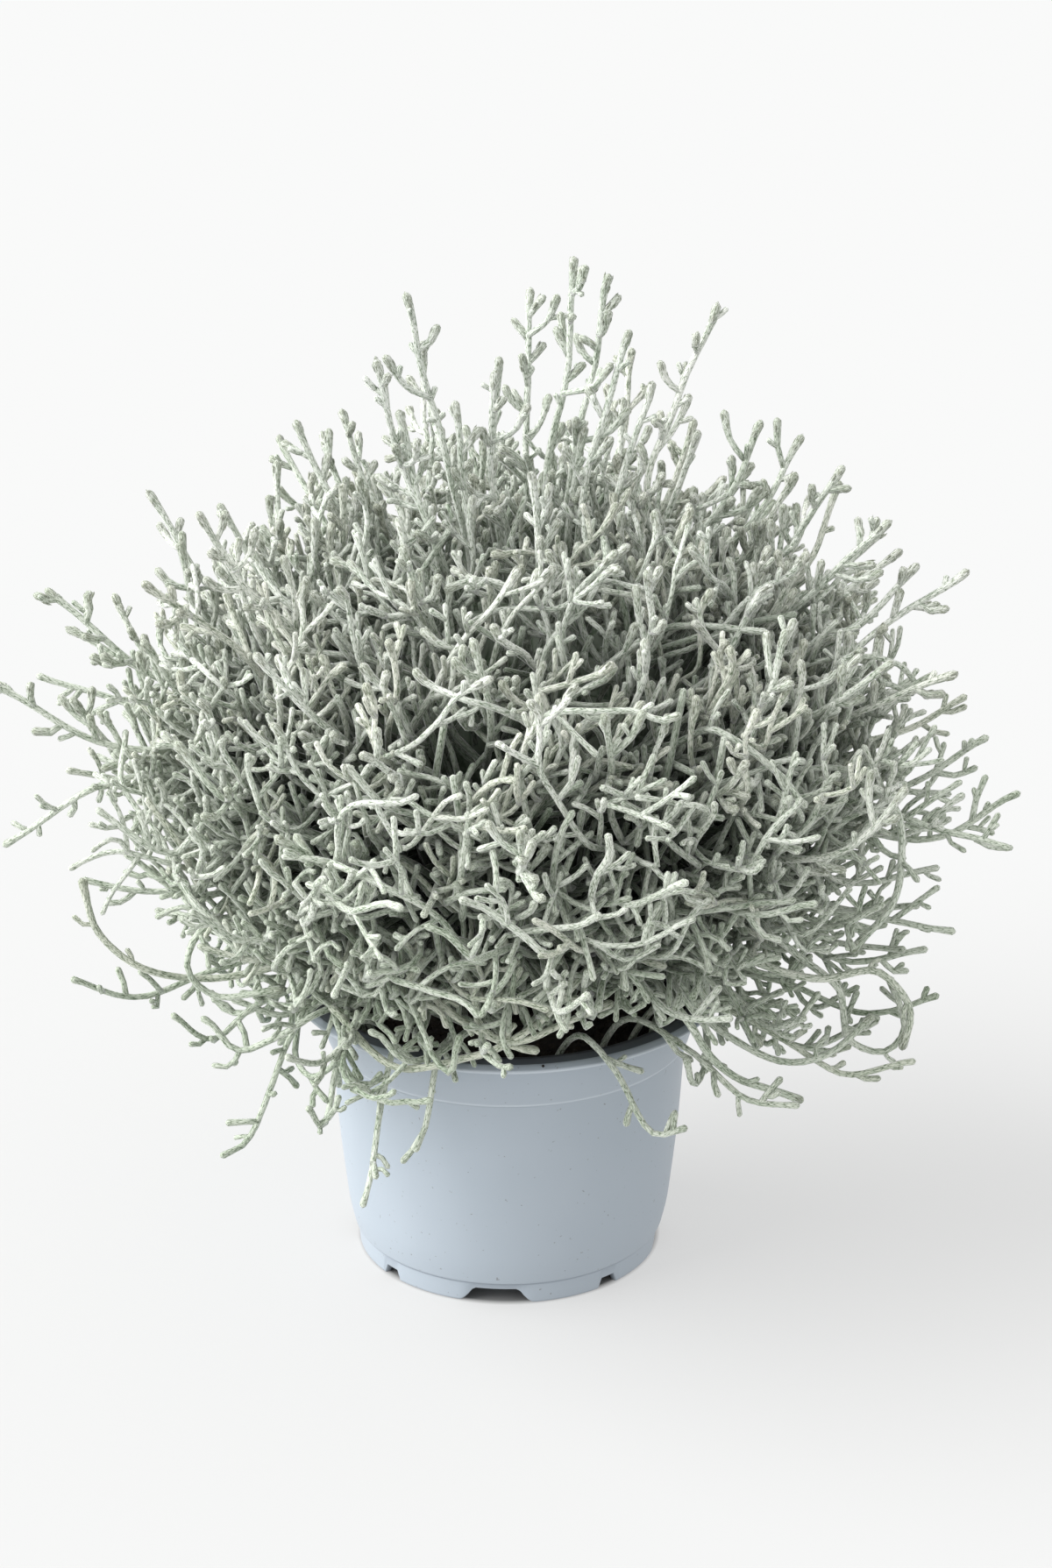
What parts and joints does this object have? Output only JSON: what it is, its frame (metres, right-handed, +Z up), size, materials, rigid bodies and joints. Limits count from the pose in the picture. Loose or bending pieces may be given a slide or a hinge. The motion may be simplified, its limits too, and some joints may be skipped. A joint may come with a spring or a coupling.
{
  "type": "potted cushion bush",
  "caption": "Silver wiry cushion bush, a dense round tangle of thin stems, in a light blue-grey round growing pot.",
  "frame": {"origin": "on the surface that the pot stands on, on the pot's axis, which is the middle of the whole part's width and depth", "axes": "+Z up along the pot's axis, -Y towards the front where the pot's widest foot notch is, +X to the right seen from the front"},
  "size_m": [0.268, 0.252, 0.281],
  "materials": {
    "pot_plastic": "light blue-grey moulded plastic with a soft sheen, dark slate on the inside and on the lip",
    "soil": "dark moist peat with crumbs and fibres",
    "stems": "silver-white woolly scale leaves pressed against grey-green stems"
  },
  "bodies": {
    "root": {"pot": "pot_plastic", "soil": "soil", "bush": "stems", "trailing_shoot_01": "stems", "trailing_shoot_02": "stems", "trailing_shoot_03": "stems", "trailing_shoot_04": "stems", "trailing_shoot_05": "stems", "trailing_shoot_06": "stems", "trailing_shoot_07": "stems", "trailing_shoot_08": "stems", "trailing_shoot_09": "stems", "trailing_shoot_10": "stems", "trailing_shoot_11": "stems", "trailing_shoot_12": "stems", "trailing_shoot_13": "stems", "trailing_shoot_14": "stems"}
  },
  "joints": []
}
